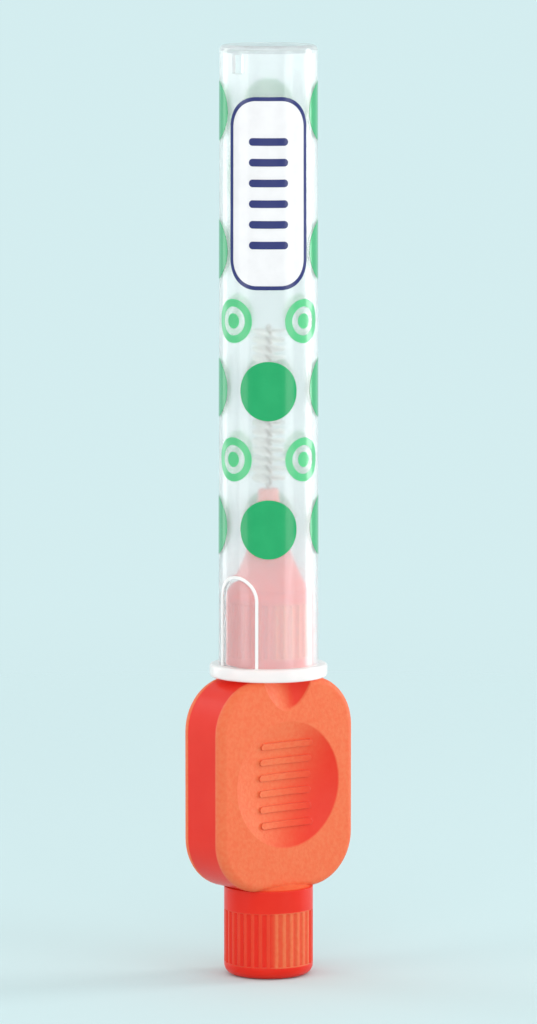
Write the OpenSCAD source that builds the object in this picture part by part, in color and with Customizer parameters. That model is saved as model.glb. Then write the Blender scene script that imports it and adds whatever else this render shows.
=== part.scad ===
// Interdental brush: a moulded grip with a twisted wire brush, and a clear push-on cap.
// The brush stands along +Z on the flat end of its lower collar, and the pad faces -Y.

/* [Grip] */
// Diameter of both round collars
collar_d = 5.9; // [5:0.1:7]
// Length of the collar below the pad
lower_collar_len = 5.9; // [4:0.1:9]
// Length of the collar above the pad, up to its shoulder
upper_collar_len = 5.2; // [4.5:0.1:8]
// Rounding of the lower collar's end
collar_end_r = 0.7; // [0.1:0.05:0.8]
// Rounding of the shoulder above the upper collar
shoulder_r = 0.9; // [0.5:0.05:1.4]

/* [Pad] */
// Width of the finger pad
pad_w = 11; // [9:0.1:14]
// Height of the finger pad
pad_h = 14; // [12:0.1:18]
// Thickness of the finger pad
pad_t = 4.3; // [3.4:0.1:5]
// Radius of the pad's four corners
pad_corner_r = 3.45; // [2:0.05:4.2]
// Rounding of the pad's long edges
pad_edge_r = 0.5; // [0.2:0.05:0.9]
// Diameter of the round finger dish in each face
dish_d = 8.4; // [6:0.1:8.8]
// Depth of the finger dish
dish_depth = 0.6; // [0.3:0.05:0.8]
// Number of grip bars in each dish
bar_count = 6; // [3:1:7]
// Length of a grip bar
bar_len = 4.2; // [2:0.1:5]
// Width of a grip bar
bar_w = 0.42; // [0.2:0.02:0.6]
// Distance from one grip bar to the next
bar_pitch = 1.05; // [0.8:0.05:1.1]
// Height of a grip bar above the dish
bar_h = 0.13; // [0.06:0.01:0.2]
// Width of the scoop between the upper collar and a face
scoop_w = 4.3; // [3:0.1:4.8]
// Length of the scoop on the face
scoop_len = 2.1; // [1.5:0.1:2.6]
// Depth of the scoop at the collar
scoop_depth = 0.75; // [0.4:0.05:1]
// Height of the ramp where a collar stands proud of the faces
ramp_h = 0.3; // [0.1:0.05:0.6]

/* [Ribs] */
// Number of ribs around each collar
rib_count = 34; // [16:1:36]
// Radius of the round groove between two ribs
rib_groove_r = 0.24; // [0.15:0.01:0.3]
// Depth of the groove between two ribs
rib_depth = 0.1; // [0.05:0.01:0.12]
// Plain length between the ribs and the pad
rib_clear = 1.5; // [0.6:0.1:2]

/* [Neck] */
// Length of the neck from the shoulder to its tip
neck_len = 6.6; // [4:0.1:10]
// Diameter of the neck at the shoulder
neck_base_d = 5.2; // [4.6:0.1:5.4]
// Diameter of the neck at its tip
neck_tip_d = 1.35; // [1:0.05:2]
// Radius of the hollow curve of the neck
neck_curve_r = 13.9; // [10:0.1:30]
// Rounding of the neck's tip
neck_tip_r = 0.2; // [0.1:0.05:0.3]

/* [Wire] */
// Diameter of the wire
wire_d = 0.2; // [0.14:0.01:0.21]
// Distance between the two legs of the wire, centre to centre
wire_spread = 0.3; // [0.26:0.01:0.34]
// Height of one full turn of the twist
twist_pitch = 1.22; // [1:0.01:2]
// Length of wire held in the neck
wire_seat_len = 4; // [2:0.1:6]
// Radial room between the wire and its hole in the neck
wire_play = 0.03; // [0.01:0.01:0.1]

/* [Bristles] */
// Diameter of the brush
brush_d = 2.2; // [1.6:0.1:4]
// Length of the brush
brush_len = 10.1; // [6:0.1:14]
// Bare wire between the neck and the first bristle
brush_start = 0.45; // [0.2:0.05:1.5]
// Height of one bristle at its root, which is also the step along the wire
bristle_step = 0.0595; // [0.055:0.0005:0.08]
// Thickness of a bristle at its root
bristle_t = 0.07; // [0.04:0.005:0.075]
// Thickness of a bristle at its tip
bristle_tip_t = 0.04; // [0.02:0.005:0.045]
// Length of wire past the last bristle, up to the centre of its bend
wire_past = 0.05; // [0.02:0.01:0.5]

/* [Cap] */
// Length of the cap with its flange
cap_len = 41.7; // [30:0.1:60]
// Radial running fit between the cap and the collar
cap_play = 0.05; // [0.02:0.01:0.1]
// Thickness of the cap's wall
cap_wall = 0.3; // [0.25:0.01:0.6]
// Thickness of the cap's closed end
cap_end_wall = 0.5; // [0.3:0.05:1]
// Narrowing of the cap's radius from mouth to closed end
cap_draft = 0.08; // [0:0.01:0.1]
// Rounding of the cap's closed end
cap_end_r = 0.4; // [0.2:0.05:0.8]
// Diameter of the flange at the cap's mouth
flange_d = 7.8; // [7.2:0.1:9]
// Height of the flange
flange_h = 0.85; // [0.5:0.05:1.5]
// Rounding of the flange's rim
flange_r = 0.2; // [0.1:0.05:0.35]
// Gap between the flange and the pad when the cap is on
cap_seat_gap = 0.04; // [0.02:0.01:0.2]
// Width of the arched panel on each side of the cap
arch_w = 2.9; // [2:0.1:4]
// Height of the arched panel above the flange
arch_h = 5.9; // [4:0.1:8]
// Depth of the arched panel
arch_depth = 0.1; // [0.04:0.01:0.15]
// Width of the raised border round the arched panel
arch_border = 0.25; // [0.1:0.05:0.5]
// Height of the raised border above the wall
arch_border_h = 0.05; // [0.02:0.01:0.1]
// Width of the air slot on each side of the closed end
vent_w = 0.8; // [0.4:0.1:1.5]
// Height of the air slot
vent_h = 1.2; // [0.6:0.1:2]
// Distance from the closed end to the air slot
vent_drop = 0.6; // [0.55:0.05:3]
// Turn of the cap's panels and slots from the pad's sides, in degrees
cap_turn = 13; // [0:1:90]

/* [Hidden] */
$fn = 96;

// How far a cut runs past the face that it opens
over = 0.5;
// How far the ramps of the collars run in past the faces
ramp_lap = 0.1;
// How far the scoop runs up into the collar's end
scoop_rise = 0.5;
// Ends of the rib grooves from the collar's rounded end and from the shoulder
rib_end = 0.15;
// Sides of a rib groove's circle
groove_sides = 24;
// Sides of the wire's section
wire_sides = 6;
// Rings of the wire in one turn of the twist
wire_rings = 10;
// Rings in the bend at the wire's end
bend_rings = 6;
// Half the width of the strip of bristle middles that the wire pinches
pinch_half_w = 0.16;
// The twist turns to the left
twist_hand = -1;

collar_r = collar_d / 2;
pad_z0 = lower_collar_len;
pad_z1 = pad_z0 + pad_h;
pad_mid_z = (pad_z0 + pad_z1) / 2;
shoulder_z = pad_z1 + upper_collar_len;
neck_base_r = neck_base_d / 2;
neck_tip_rad = neck_tip_d / 2;
shoulder_drop = collar_r - neck_base_r;
shoulder_rise = sqrt(shoulder_r * shoulder_r - pow(shoulder_r - shoulder_drop, 2));
neck_z0 = shoulder_z + shoulder_rise;
neck_z1 = neck_z0 + neck_len;

leg_r = wire_spread / 2;
wire_r = wire_d / 2;
wire_bore_r = leg_r + wire_r + wire_play;
wire_z0 = neck_z1 - wire_seat_len;
brush_z0 = neck_z1 + brush_start;
brush_z1 = brush_z0 + brush_len;
wire_z1 = brush_z1 + wire_past;
brush_r = brush_d / 2;

cap_z0 = pad_z1 + cap_seat_gap;
cap_z1 = cap_z0 + cap_len;
cap_bore_r = collar_r + cap_play;
cap_r = cap_bore_r + cap_wall;
cap_seat_z = neck_z0;
cap_end_bore_r = cap_bore_r - cap_draft;
cap_end_rad = cap_r - cap_draft;

// A bar's section with four rounded corners, about its own centre
module rounded_box_2d(w, h, r) {
    square([w - 2 * r, h], center = true);
    square([w, h - 2 * r], center = true);
    for (sx = [-1, 1], sy = [-1, 1])
        translate([sx * (w / 2 - r), sy * (h / 2 - r)]) circle(r);
}

// One quarter of the pad's rim is a disc with rounded edges
module pad_corner() {
    rotate([90, 0, 0])
        rotate_extrude()
            intersection() {
                rounded_box_2d(2 * pad_corner_r, pad_t, pad_edge_r);
                translate([0, -pad_t]) square([pad_w, 2 * pad_t]);
            }
}

// Finger pad: two crossed slabs with rounded edges and a disc at each corner
module pad_blank() {
    translate([0, 0, pad_mid_z]) {
        translate([0, 0, -(pad_h / 2 - pad_corner_r)])
            linear_extrude(pad_h - 2 * pad_corner_r)
                rounded_box_2d(pad_w, pad_t, pad_edge_r);
        rotate([0, 90, 0])
            translate([0, 0, -(pad_w / 2 - pad_corner_r)])
                linear_extrude(pad_w - 2 * pad_corner_r)
                    rounded_box_2d(pad_h, pad_t, pad_edge_r);
        for (sx = [-1, 1], sz = [-1, 1])
            translate([sx * (pad_w / 2 - pad_corner_r), 0, sz * (pad_h / 2 - pad_corner_r)])
                pad_corner();
    }
}

// Grip bars with round ends, as a block that runs through the dish's floor
module grip_bars() {
    for (i = [0 : bar_count - 1])
        translate([0, 0, (i - (bar_count - 1) / 2) * bar_pitch])
            rotate([90, 0, 0])
                linear_extrude(pad_t, center = true) {
                    square([bar_len - bar_w, bar_w], center = true);
                    for (s = [-1, 1])
                        translate([s * (bar_len - bar_w) / 2, 0]) circle(bar_w / 2);
                }
}

// Round dish in one face, cut with a large ball that leaves the grip bars standing
module dish_cut() {
    dish_ball_r = (dish_d * dish_d / 4 + dish_depth * dish_depth) / (2 * dish_depth);
    ball_y = -(pad_t / 2 - dish_depth + dish_ball_r);
    translate([0, 0, pad_mid_z])
        difference() {
            translate([0, ball_y, 0]) sphere(dish_ball_r);
            difference() {
                translate([0, -pad_t / 2, 0]) grip_bars();
                translate([0, ball_y, 0]) sphere(dish_ball_r - bar_h);
            }
        }
}

// Hollow from the front face into the end of the upper collar
module scoop_cut() {
    scoop_r = (scoop_w * scoop_w / 4 + scoop_depth * scoop_depth) / (2 * scoop_depth);
    ramp = atan(scoop_depth / scoop_len);
    intersection() {
        translate([0, -pad_t / 2, pad_z1 - scoop_len])
            rotate([-ramp, 0, 0])
                translate([0, -scoop_r, -scoop_len])
                    cylinder(r = scoop_r, h = 3 * scoop_len);
        translate([-pad_w / 2, -pad_t, pad_z1 - 2 * scoop_len])
            cube([pad_w, pad_t, 2 * scoop_len + scoop_rise]);
    }
}

// Round grooves that leave the ribs on a collar
module rib_grooves(z0, z1) {
    for (i = [0 : rib_count - 1])
        rotate([0, 0, (i + 0.5) * 360 / rib_count])
            translate([collar_r - rib_depth + rib_groove_r, 0, z0])
                cylinder(r = rib_groove_r, h = z1 - z0, $fn = groove_sides);
}

// Half outline of the ramp that leads a collar on to the faces, drawn for the lower collar
module ramp_2d() {
    ramp_r = pad_t / 2 - ramp_lap;
    polygon([[0, 0], [collar_r, 0], [ramp_r, ramp_h * (collar_r - ramp_r) / (collar_r - pad_t / 2)],
             [0, ramp_h]]);
}

// Half outline of the lower collar with its rounded end
module lower_collar_2d() {
    square([collar_r - collar_end_r, pad_z0]);
    translate([0, collar_end_r]) square([collar_r, pad_z0 - collar_end_r]);
    translate([collar_r - collar_end_r, collar_end_r]) circle(collar_end_r);
    translate([0, pad_z0]) ramp_2d();
}

// Half outline of the upper collar, its rounded shoulder and the hollow neck
module neck_2d() {
    curve_z1 = neck_z1 - neck_tip_r;
    rise = curve_z1 - neck_z0;
    drop = neck_base_r - neck_tip_rad;
    chord = sqrt(rise * rise + drop * drop);
    reach = sqrt(neck_curve_r * neck_curve_r - chord * chord / 4);
    translate([0, pad_z1]) {
        square([collar_r, shoulder_z - pad_z1]);
        mirror([0, 1]) ramp_2d();
    }
    intersection() {
        translate([collar_r - shoulder_r, shoulder_z]) circle(shoulder_r);
        translate([0, shoulder_z]) square([collar_r, shoulder_rise]);
    }
    translate([0, shoulder_z]) square([neck_base_r, shoulder_rise]);
    difference() {
        translate([0, neck_z0]) square([neck_base_r, rise]);
        translate([(neck_base_r + neck_tip_rad) / 2 + reach * rise / chord,
                   (neck_z0 + curve_z1) / 2 + reach * drop / chord])
            circle(neck_curve_r, $fn = 4 * $fn);
    }
    translate([0, pad_z1]) square([neck_tip_rad - neck_tip_r, neck_z1 - pad_z1]);
    translate([neck_tip_rad - neck_tip_r, curve_z1])
        intersection() {
            circle(neck_tip_r);
            square(neck_tip_r);
        }
}

// One moulding: collars, finger pad and neck
module handle() {
    color([0.9, 0.3, 0.22])
        difference() {
            union() {
                rotate_extrude() lower_collar_2d();
                pad_blank();
                rotate_extrude() neck_2d();
            }
            for (face = [0, 180])
                rotate([0, 0, face]) {
                    dish_cut();
                    scoop_cut();
                }
            rib_grooves(collar_end_r + rib_end, pad_z0 - rib_clear);
            rib_grooves(pad_z1 + rib_clear, shoulder_z - rib_end);
            translate([0, 0, wire_z0 - wire_play])
                cylinder(r = wire_bore_r, h = wire_seat_len + wire_play + over);
        }
}

// Angle of the twist at a height
function twist_at(z) = twist_hand * 360 * (z - wire_z0) / twist_pitch;

// Point, outward direction and side direction of the wire on one leg at a height
function leg_ring(z, side) =
    let (a = twist_at(z) + side * 180,
         lean = atan(twist_hand * 2 * PI * leg_r / twist_pitch),
         out = [cos(a), sin(a), 0],
         across = [-sin(a) * cos(lean), cos(a) * cos(lean), -sin(lean)])
    [leg_r * out + [0, 0, z], out, side == 0 ? across : -across];

// The same on the half round bend that joins the two legs
function bend_ring(b) =
    let (a = twist_at(wire_z1),
         out = [cos(a) * cos(b), sin(a) * cos(b), sin(b)])
    [leg_r * out + [0, 0, wire_z1], out, [-sin(a), cos(a), 0]];

// Closed tube through rings of equal size
module ring_tube(rings, r, sides) {
    count = len(rings);
    points = [for (g = rings, k = [0 : sides - 1])
        let (c = (k + 0.5) * 360 / sides)
        g[0] + r * cos(c) * g[1] + r * sin(c) * g[2]];
    walls = [for (i = [0 : count - 2], k = [0 : sides - 1])
        let (n = (k + 1) % sides, p = i * sides, q = p + sides)
        each [[p + k, q + k, q + n], [p + k, q + n, p + n]]];
    ends = [for (k = [1 : sides - 2])
        let (p = (count - 1) * sides)
        each [[0, k, k + 1], [p, p + k + 1, p + k]]];
    polyhedron(points = points, faces = concat(walls, ends), convexity = 10);
}

// Stainless wire folded into a hairpin, with its two legs twisted together
module twisted_wire() {
    steps = ceil((wire_z1 - wire_z0) / twist_pitch * wire_rings);
    rise = (wire_z1 - wire_z0) / steps;
    up = [for (i = [0 : steps]) leg_ring(wire_z0 + i * rise, 0)];
    bend = [for (i = [1 : bend_rings - 1]) bend_ring(i * 180 / bend_rings)];
    down = [for (i = [steps : -1 : 0]) leg_ring(wire_z0 + i * rise, 1)];
    color([0.72, 0.69, 0.66]) ring_tube(concat(up, bend, down), wire_r, wire_sides);
}

// Bristles: a strip of filament middles turns with the wire, and from each step of its
// two narrow sides one filament reaches out
module bristles() {
    steps = round(brush_len / bristle_step);
    rise = brush_len / steps;
    half_t = bristle_t / 2;
    tip_half = bristle_tip_t / 2;
    strip = [for (i = [0 : steps])
        let (z = brush_z0 + i * rise, a = twist_at(z) + 90,
             d = [cos(a), sin(a), 0], n = [-sin(a), cos(a), 0], up = [0, 0, z])
        each [up + pinch_half_w * d - half_t * n, up + pinch_half_w * d + half_t * n,
              up - pinch_half_w * d + half_t * n, up - pinch_half_w * d - half_t * n]];
    tips = [for (i = [0 : steps - 1], side = [1, -1])
        let (z = brush_z0 + (i + 0.5) * rise, a = twist_at(z) + 90,
             d = side * [cos(a), sin(a), 0], n = side * [-sin(a), cos(a), 0],
             c = brush_r * d + [0, 0, z], up = [0, 0, tip_half])
        each [c - tip_half * n - up, c + tip_half * n - up,
              c + tip_half * n + up, c - tip_half * n + up]];
    first_tip = 4 * (steps + 1);
    flats = [for (i = [0 : steps - 1], s = [1, 3])
        let (p = 4 * i + s, n = 4 * i + (s + 1) % 4)
        each [[p, p + 4, n + 4], [p, n + 4, n]]];
    strands = [for (i = [0 : steps - 1], s = [0, 1])
        let (p = 4 * i + 2 * s, t = first_tip + 8 * i + 4 * s,
             root = [p, p + 1, p + 5, p + 4], tip = [t, t + 1, t + 2, t + 3])
        each concat(
            [for (k = [0 : 3]) let (n = (k + 1) % 4)
                each [[root[k], tip[k], tip[n]], [root[k], tip[n], root[n]]]],
            [[tip[0], tip[3], tip[2]], [tip[0], tip[2], tip[1]]])];
    last = 4 * steps;
    ends = [[0, 1, 2], [0, 2, 3], [last, last + 2, last + 1], [last, last + 3, last + 2]];
    color([0.94, 0.92, 0.88])
        polyhedron(points = concat(strip, tips), faces = concat(flats, strands, ends),
                   convexity = 10);
}

// Half outline of the cap: a drafted tube with a closed end and a rounded flange
module cap_2d() {
    difference() {
        union() {
            polygon([[0, cap_z0], [cap_r, cap_z0], [cap_end_rad, cap_z1 - cap_end_r],
                     [cap_end_rad - cap_end_r, cap_z1], [0, cap_z1]]);
            translate([cap_end_rad - cap_end_r, cap_z1 - cap_end_r])
                intersection() {
                    circle(cap_end_r);
                    square(cap_end_r);
                }
            translate([0, cap_z0]) square([flange_d / 2 - flange_r, flange_h]);
            translate([0, cap_z0 + flange_r]) square([flange_d / 2, flange_h - 2 * flange_r]);
            for (z = [flange_r, flange_h - flange_r])
                translate([flange_d / 2 - flange_r, cap_z0 + z]) circle(flange_r);
        }
        polygon([[0, cap_z0 - over], [cap_bore_r, cap_z0 - over], [cap_bore_r, cap_seat_z],
                 [cap_end_bore_r, cap_z1 - cap_end_wall], [0, cap_z1 - cap_end_wall]]);
    }
}

// Block with an arched outline that stands on the flange, larger all round by a given width
module arch_block(grow) {
    translate([0, 0, cap_z0 + flange_h / 2])
        rotate([90, 0, 90])
            linear_extrude(flange_d) {
                translate([-arch_w / 2 - grow, 0])
                    square([arch_w + 2 * grow, arch_h - arch_w / 2 + flange_h / 2]);
                translate([0, arch_h - arch_w / 2 + flange_h / 2]) circle(arch_w / 2 + grow);
            }
}

// Raised border round the arched panel of one side, with its panel still full
module arch_rim() {
    difference() {
        intersection() {
            arch_block(arch_border);
            translate([0, 0, cap_z0]) cylinder(r = cap_r + arch_border_h, h = cap_len / 2);
        }
        translate([0, 0, cap_z0]) cylinder(r = cap_r - cap_wall / 2, h = cap_len);
    }
}

// Arched panel of one side, cut into the outer wall above the flange
module arch_cut() {
    difference() {
        arch_block(0);
        translate([0, 0, cap_z0]) cylinder(r = cap_r - arch_depth, h = cap_len);
        translate([0, 0, cap_z0]) cylinder(r = flange_d, h = flange_h);
    }
}

// Clear push-on cap
module cap() {
    color([0.8, 0.92, 0.95, 0.6])
        difference() {
            union() {
                rotate_extrude() cap_2d();
                for (side = [0, 180]) rotate([0, 0, side + cap_turn]) arch_rim();
            }
            for (side = [0, 180])
                rotate([0, 0, side + cap_turn]) {
                    arch_cut();
                    translate([0, -vent_w / 2, cap_z1 - vent_drop - vent_h])
                        cube([flange_d, vent_w, vent_h]);
                }
        }
}

handle();
twisted_wire();
bristles();
cap();
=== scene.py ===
"""Interdental brush: finishes for the moulded grip, a twisted wire, its bristles, and a printed cap."""

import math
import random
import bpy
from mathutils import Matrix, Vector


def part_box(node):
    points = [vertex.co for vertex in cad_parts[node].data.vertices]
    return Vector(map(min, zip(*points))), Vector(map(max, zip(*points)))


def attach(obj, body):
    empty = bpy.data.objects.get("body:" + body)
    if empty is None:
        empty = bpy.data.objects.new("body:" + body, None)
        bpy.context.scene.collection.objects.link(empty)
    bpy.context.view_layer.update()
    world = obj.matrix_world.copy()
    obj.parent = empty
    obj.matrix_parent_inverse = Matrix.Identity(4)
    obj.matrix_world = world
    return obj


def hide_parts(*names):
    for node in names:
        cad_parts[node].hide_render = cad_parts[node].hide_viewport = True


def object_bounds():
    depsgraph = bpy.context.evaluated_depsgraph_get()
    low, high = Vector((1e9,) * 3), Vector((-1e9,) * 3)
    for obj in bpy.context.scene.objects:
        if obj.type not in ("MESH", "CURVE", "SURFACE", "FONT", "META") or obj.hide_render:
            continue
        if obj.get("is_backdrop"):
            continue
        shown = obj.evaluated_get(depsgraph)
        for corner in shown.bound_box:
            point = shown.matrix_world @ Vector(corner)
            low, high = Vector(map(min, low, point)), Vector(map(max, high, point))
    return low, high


bl_info = {
    "name": "Interdental brush",
    "version": (1, 0, 0),
    "blender": (4, 5, 0),
    "location": "View3D > Sidebar > Brush",
    "description": "Builds the looks of an interdental brush round its packed frame",
    "category": "Object",
}

import bmesh
import bpy
from bpy.props import FloatProperty, FloatVectorProperty, IntProperty, PointerProperty
from mathutils import Matrix, Vector

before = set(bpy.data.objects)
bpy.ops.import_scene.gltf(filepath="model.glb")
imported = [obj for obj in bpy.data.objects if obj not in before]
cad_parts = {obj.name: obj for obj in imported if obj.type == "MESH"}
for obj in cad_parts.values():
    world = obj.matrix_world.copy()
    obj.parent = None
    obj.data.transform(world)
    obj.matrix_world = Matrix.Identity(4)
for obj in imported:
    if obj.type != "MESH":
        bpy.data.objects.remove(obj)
cad_low, cad_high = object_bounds()
handle_low, handle_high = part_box("handle")
brush_low, brush_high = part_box("bristles")
cap_low, cap_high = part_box("cap")

MM = 0.001
PLASTIC_IOR = 1.49
FLOOR_R = 0.9
FLOOR_FADE = (0.05, 0.2)
SHARP = math.radians(38)
# Distance within which corners are joined, and within which a point lies on the cap's wall
WELD = 0.0002 * MM
SKIN = 0.02 * MM
# Each lamp's azimuth and elevation in degrees, distance, width and height, and radiance, where 1 is white
SOFTBOXES = {
    "key_softbox": (72, 4, 0.34, (0.12, 0.3), 4.5),
    "front_softbox": (12, 6, 0.34, (0.13, 0.3), 1.6),
    "left_softbox": (-97, 6, 0.32, (0.14, 0.3), 1.4),
    "top_softbox": (20, 78, 0.5, (0.4, 0.4), 0.25),
    "fill_softbox": (-37, 22, 0.5, (0.4, 0.4), 0.7),
    "back_softbox": (200, 10, 0.34, (0.12, 0.3), 1.3),
}


def length(name, text, default_mm):
    """A size that a user may change, given here in millimetres."""
    return FloatProperty(
        name=name,
        description=text,
        default=default_mm * MM,
        min=0,
        max=100 * MM,
        precision=6,
        unit="LENGTH",
    )


def degrees(name, text, default):
    """An angle that a user may change, given here in degrees."""
    return FloatProperty(name=name, description=text, default=math.radians(default), subtype="ANGLE")


def whole(name, text, default, low, high):
    """A whole number that a user may change."""
    return IntProperty(name=name, description=text, default=default, min=low, max=high)


def colour(name, text, default):
    """A linear colour that a user may change."""
    return FloatVectorProperty(
        name=name,
        description=text,
        default=default,
        min=0,
        max=1,
        size=3,
        subtype="COLOR",
    )


def share(name, text, default):
    """A factor from 0 to 1 that a user may change."""
    return FloatProperty(name=name, description=text, default=default, min=0, max=1, subtype="FACTOR")


class GripLooks(bpy.types.PropertyGroup):
    """Colours and finish of the red moulding."""

    body: colour("Body", "Red of the smooth plastic", (0.8, 0.018, 0.005))
    body_light: colour("Light patches", "Red where the plastic holds less pigment", (0.82, 0.024, 0.008))
    # Partly painted sheen: paler for the grain's own finish and for light that the grained faces and ribs
    # catch.
    grain_and_sheen: colour("Grained faces", "Paler red of the grained faces and the ribs", (0.86, 0.185, 0.072))
    speckle: colour("Speckle", "Darker red in the grain's hollows", (0.85, 0.15, 0.055))
    # Painted glow: paler for light that shines through the neck's thin end.
    tip_glow: colour("Neck tip", "Paler red of the thin end of the neck", (0.91, 0.22, 0.17))
    # Painted highlight: paler red along moulded edges.
    rim: colour("Edges", "Paler red along moulded edges", (0.92, 0.2, 0.13))
    roughness: share("Roughness", "Roughness of the smooth surface", 0.34)
    grained_roughness: share("Grained roughness", "Roughness of the grained faces", 0.5)
    glow_depth: length("Glow depth", "How far light spreads inside the plastic", 0.4)
    grain: length("Grain", "Size of the mould's fine grain", 0.16)
    pad_low: length("Pad's lower end", "Height at which the pad begins", 5.9)
    pad_high: length("Pad's upper end", "Height at which the pad ends", 19.9)
    face_y: length("Face depth", "Distance from the middle past which the pad counts as its face", 1.45)
    pad_t: length("Pad's thickness", "Thickness of the pad", 4.3)
    speckle_size: length("Speckle size", "Size of the grain's darker hollows", 0.26)
    collar_d: length("Collar diameter", "Diameter over the ribs of a collar", 5.9)
    rib_depth: length("Rib depth", "Depth of the grooves between the ribs", 0.1)
    low_ribs: length("Lower ribs' foot", "Height at which the lower collar's ribs begin", 0.85)
    high_ribs: length("Upper ribs' foot", "Height at which the upper collar's ribs begin", 21.4)
    rib_len: length("Rib length", "Length of the ribs", 3.55)
    # Painted sheen on the front and back patches of ribs.
    rib_sheen_patch: length("Rib patch", "Half width of the grained patch of ribs at the front and the back", 1.5)
    dish_d: length("Dish diameter", "Diameter of the finger dish", 8.4)
    scoop_w: length("Scoop width", "Width of the scoop below the upper collar", 4.3)
    scoop_len: length("Scoop length", "Length of the scoop below the upper collar", 2.1)
    # Painted shade: the settings below turn the right side of the dish and the scoop to the smooth red.
    painted_shade: share("Polish", "Share of the smooth finish at the right of the dish and the scoop", 0.9)
    shade_lean: share("Polish lean", "How much the dish's smooth side leans over going up", 0.35)
    dish_start: length("Dish polish start", "Distance left of the middle where it turns smooth", 1.6)
    dish_full: length("Dish polish end", "Distance right of the middle where it is smooth", 3.4)
    scoop_start: length("Scoop polish start", "Distance left of the middle where it turns smooth", 0.4)
    scoop_full: length("Scoop polish end", "Distance right of the middle where it is smooth", 0.8)
    edge: length("Edge rounding", "Rounding that shows along sharp edges", 0.06)
    edge_highlight_share: share("Edge share", "Share of the paler red along moulded edges", 0.35)
    neck_fade: length("Neck fade", "Length over which the neck turns paler", 7.0)


class WireSizes(bpy.types.PropertyGroup):
    """Sizes and colour of the twisted wire."""

    diameter: length("Wire diameter", "Diameter of the wire", 0.2)
    spread: length("Leg spacing", "Distance between the two legs, centre to centre", 0.3)
    pitch: length("Twist pitch", "Height of one full turn", 1.22)
    seat: length("Seat", "Length of wire held in the neck", 4.0)
    past: length("Past the bristles", "Wire past the last bristle, up to the bend's centre", 0.05)
    sides: whole("Sides", "Sides of the wire's section", 12, 6, 24)
    turn_steps: whole("Steps", "Rings in one turn", 28, 8, 64)
    bend_steps: whole("Bend steps", "Rings in the bend", 14, 6, 32)
    metal: colour("Metal", "Colour of the coated steel", (0.58, 0.5, 0.45))


class BristleSizes(bpy.types.PropertyGroup):
    """Sizes and colour of the filaments."""

    count: whole("Count", "Filaments, each with two free ends", 1700, 100, 4000)
    sides: whole("Sides", "Sides of a filament's section", 5, 3, 8)
    diameter: length("Filament diameter", "Diameter of one filament", 0.052)
    spare: length("Uneven ends", "Most that a filament's end stands back", 0.05)
    fan: degrees("Fan", "Spread of the filaments about the pinched plane", 6)
    tilt: degrees("Tilt", "Spread of the filaments up and down", 2.5)
    lamp_share: share("Lamp share", "Share of the lamps' light that goes on through a filament", 0.9)
    nylon: colour("Nylon", "Colour of the filaments", (0.98, 0.96, 0.91))


class CapSizes(bpy.types.PropertyGroup):
    """Sizes and colour of the cap."""

    bore_d: length("Bore", "Inner diameter at the mouth", 6.0)
    wall: length("Wall", "Thickness of the wall", 0.3)
    end_wall: length("End wall", "Thickness of the closed end", 0.5)
    draft: length("Draft", "Narrowing of the radius up to the closed end", 0.08)
    end_round: length("End rounding", "Rounding of the closed end", 0.4)
    flange_h: length("Flange height", "Height of the flange at the mouth", 0.85)
    flange_round: length("Flange rounding", "Rounding of the flange's rim", 0.2)
    arch_w: length("Arch width", "Width of the arched panel", 2.9)
    arch_h: length("Arch height", "Height of the arched panel above the flange", 5.9)
    arch_depth: length("Arch depth", "Depth of the arched panel", 0.1)
    arch_edge: length("Arch edge", "Width of the panel's soft edge", 0.2)
    arch_bead: length("Arch bead", "Height of the bead round the panel", 0.05)
    bead_w: length("Bead width", "Width of the bead", 0.2)
    bead_out: length("Bead place", "Distance from the panel's outline out to the bead's middle", 0.08)
    vent_h: length("Air slot height", "Height of the air slot", 1.2)
    vent_drop: length("Air slot drop", "Distance from the closed end to the slot", 0.6)
    vent_columns: whole("Air slot width", "Columns of faces across the slot", 10, 2, 40)
    columns: whole("Columns", "Faces round the cap", 256, 64, 512)
    row_h: length("Row height", "Height of a row of faces on the arched panels", 0.08)
    turn: degrees("Turn", "Turn of the panels from the pad's sides", 13)
    tint: colour("Tint", "Colour of the milky plastic", (0.955, 0.965, 0.97))
    thick_tint: colour("Thick tint", "Colour of the flange and beads", (0.99, 0.97, 0.955))
    clearness: share("Clearness", "Share of the light that goes through the wall", 0.77)
    thick_clearness: share("Thick clearness", "Share of the light through the flange and beads", 0.15)
    thin_clearness: share("Thin clearness", "Share of the light that goes through the arched panels", 0.84)
    lamp_share: share("Lamp share", "Share of the lamps' light that each surface lets in", 0.97)
    roughness: share("Roughness", "Frosting of the wall", 0.16)


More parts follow.
